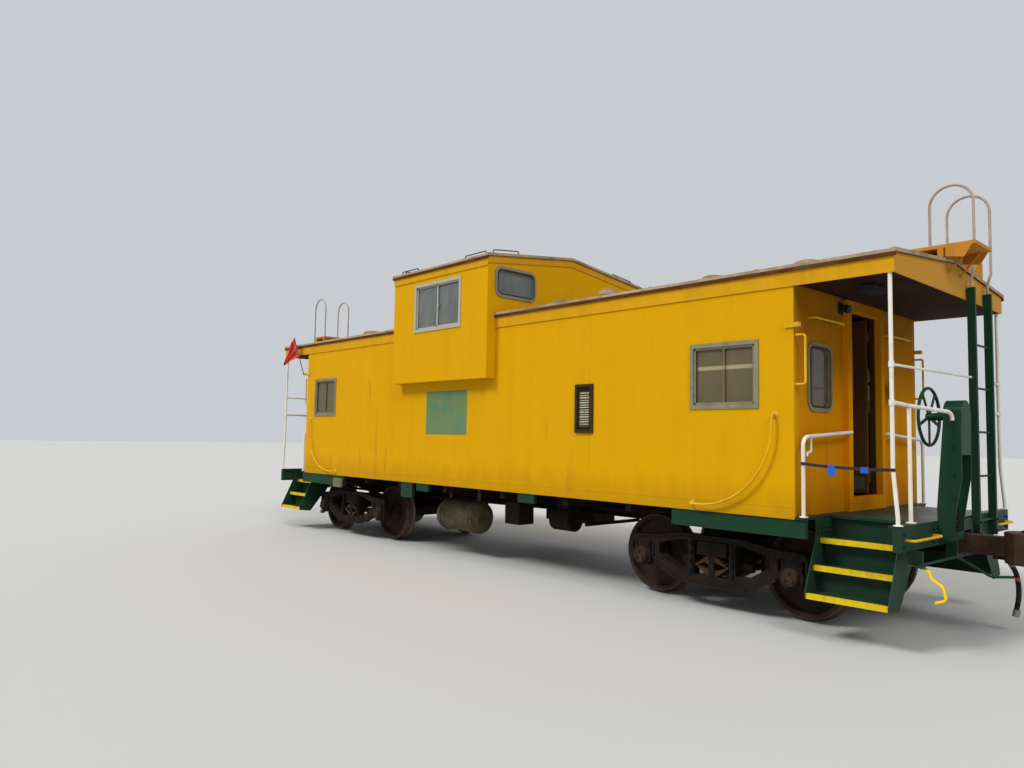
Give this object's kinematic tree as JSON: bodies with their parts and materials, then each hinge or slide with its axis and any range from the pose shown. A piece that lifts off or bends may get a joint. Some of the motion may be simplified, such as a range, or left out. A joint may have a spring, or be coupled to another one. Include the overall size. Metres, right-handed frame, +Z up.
{
  "type": "railway caboose",
  "caption": "Yellow railway caboose with a wide cupola, green end platforms, ladders, couplers and swivelling trucks with turning wheels.",
  "frame": {"origin": "middle of the car, level with the lowest points of the wheel flanges; the rail head is 25.4 mm above it", "axes": "+X towards the front end, which is nearer in the picture, +Y towards the left side, +Z up"},
  "size_m": [12.3, 3.18, 4.2732],
  "materials": {
    "body_yellow": "satin",
    "platform_green": "satin",
    "roof_cream": "matte",
    "soffit_brown": "matte",
    "rail_white": "satin",
    "edge_yellow": "satin",
    "window_frame": "satin",
    "window_glass": "gloss",
    "underframe_brown": "matte",
    "truck_cast": "matte",
    "wheel_steel": "matte",
    "coupler_rust": "matte",
    "hose_rubber": "matte",
    "fitting_iron": "matte",
    "flag_red": "matte",
    "rod_brown": "matte"
  },
  "bodies": {
    "car_body": {"air_hoses": "hose_rubber", "air_reservoir": "underframe_brown", "battery_box": "underframe_brown", "brake_cylinder": "underframe_brown", "brake_stands": "platform_green", "control_valve": "underframe_brown", "cupola_ends": "body_yellow", "cupola_pans": "body_yellow", "cupola_roof": "roof_cream", "cupola_sides": "body_yellow", "end_walls": "body_yellow", "fascias": "body_yellow", "flag": "flag_red", "flag_staff": "rod_brown", "floor": "soffit_brown", "grab_irons": "body_yellow", "hose_couplings": "fitting_iron", "ladders": "platform_green", "louver": "body_yellow", "main_roof": "roof_cream", "platform_ceilings": "soffit_brown", "platforms": "platform_green", "railings": "rail_white", "roof_caps": "roof_cream", "roof_hoops": "rail_white", "roof_rods": "rod_brown", "roof_walks": "body_yellow", "side_sills": "platform_green", "side_walls": "body_yellow", "step_nosings": "edge_yellow", "steps": "platform_green", "train_line": "underframe_brown", "uncoupling_levers": "platform_green", "underframe": "underframe_brown", "window_frames": "window_frame", "window_glass": "window_glass", "window_rings": "window_frame"},
    "truck_front": {"truck_front_frames": "truck_cast", "truck_front_springs": "truck_cast", "truck_front_bearings": "truck_cast", "truck_front_bolster": "truck_cast", "truck_front_brakes": "truck_cast"},
    "truck_rear": {"truck_rear_frames": "truck_cast", "truck_rear_springs": "truck_cast", "truck_rear_bearings": "truck_cast", "truck_rear_bolster": "truck_cast", "truck_rear_brakes": "truck_cast"},
    "wheelset_1": {"wheelset_1": "wheel_steel"},
    "wheelset_2": {"wheelset_2": "wheel_steel"},
    "wheelset_3": {"wheelset_3": "wheel_steel"},
    "wheelset_4": {"wheelset_4": "wheel_steel"},
    "door_front": {"door_front": "body_yellow", "door_front_glass": "window_glass"},
    "door_rear": {"door_rear": "body_yellow", "door_rear_glass": "window_glass"},
    "coupler_front": {"coupler_front": "coupler_rust"},
    "coupler_rear": {"coupler_rear": "coupler_rust"},
    "brake_wheel_front": {"brake_wheel_front": "platform_green"},
    "brake_wheel_rear": {"brake_wheel_rear": "platform_green"}
  },
  "joints": [
    {"name": "truck_front_swivel", "type": "hinge", "parent": "car_body", "child": "truck_front", "pos_m": [3.505, 0, 0.6774], "axis": [0, 0, 1], "range_deg": [-6, 6]},
    {"name": "truck_rear_swivel", "type": "hinge", "parent": "car_body", "child": "truck_rear", "pos_m": [-3.505, 0, 0.6774], "axis": [0, 0, 1], "range_deg": [-6, 6]},
    {"name": "wheelset_1_roll", "type": "hinge", "parent": "truck_front", "child": "wheelset_1", "pos_m": [4.3685, 0, 0.4444], "axis": [0, 1, 0], "continuous": true},
    {"name": "wheelset_2_roll", "type": "hinge", "parent": "truck_front", "child": "wheelset_2", "pos_m": [2.6415, 0, 0.4444], "axis": [0, 1, 0], "continuous": true},
    {"name": "wheelset_3_roll", "type": "hinge", "parent": "truck_rear", "child": "wheelset_3", "pos_m": [-2.6415, 0, 0.4444], "axis": [0, 1, 0], "continuous": true},
    {"name": "wheelset_4_roll", "type": "hinge", "parent": "truck_rear", "child": "wheelset_4", "pos_m": [-4.3685, 0, 0.4444], "axis": [0, 1, 0], "continuous": true},
    {"name": "door_front_hinge", "type": "hinge", "parent": "car_body", "child": "door_front", "pos_m": [4.494, 0.342, 2.0854], "axis": [0, 0, 1], "range_deg": [0, 90]},
    {"name": "door_rear_hinge", "type": "hinge", "parent": "car_body", "child": "door_rear", "pos_m": [-4.494, -0.342, 2.0854], "axis": [0, 0, 1], "range_deg": [-90, 0]},
    {"name": "coupler_front_swing", "type": "hinge", "parent": "car_body", "child": "coupler_front", "pos_m": [5, 0, 0.8054], "axis": [0, 0, 1], "range_deg": [-7, 7]},
    {"name": "coupler_rear_swing", "type": "hinge", "parent": "car_body", "child": "coupler_rear", "pos_m": [-5, 0, 0.8054], "axis": [0, 0, 1], "range_deg": [-7, 7]},
    {"name": "brake_wheel_front_turn", "type": "hinge", "parent": "car_body", "child": "brake_wheel_front", "pos_m": [5.366, -0.475, 1.9434], "axis": [1, 0, 0], "continuous": true},
    {"name": "brake_wheel_rear_turn", "type": "hinge", "parent": "car_body", "child": "brake_wheel_rear", "pos_m": [-5.366, 0.475, 1.9434], "axis": [1, 0, 0], "continuous": true}
  ]
}
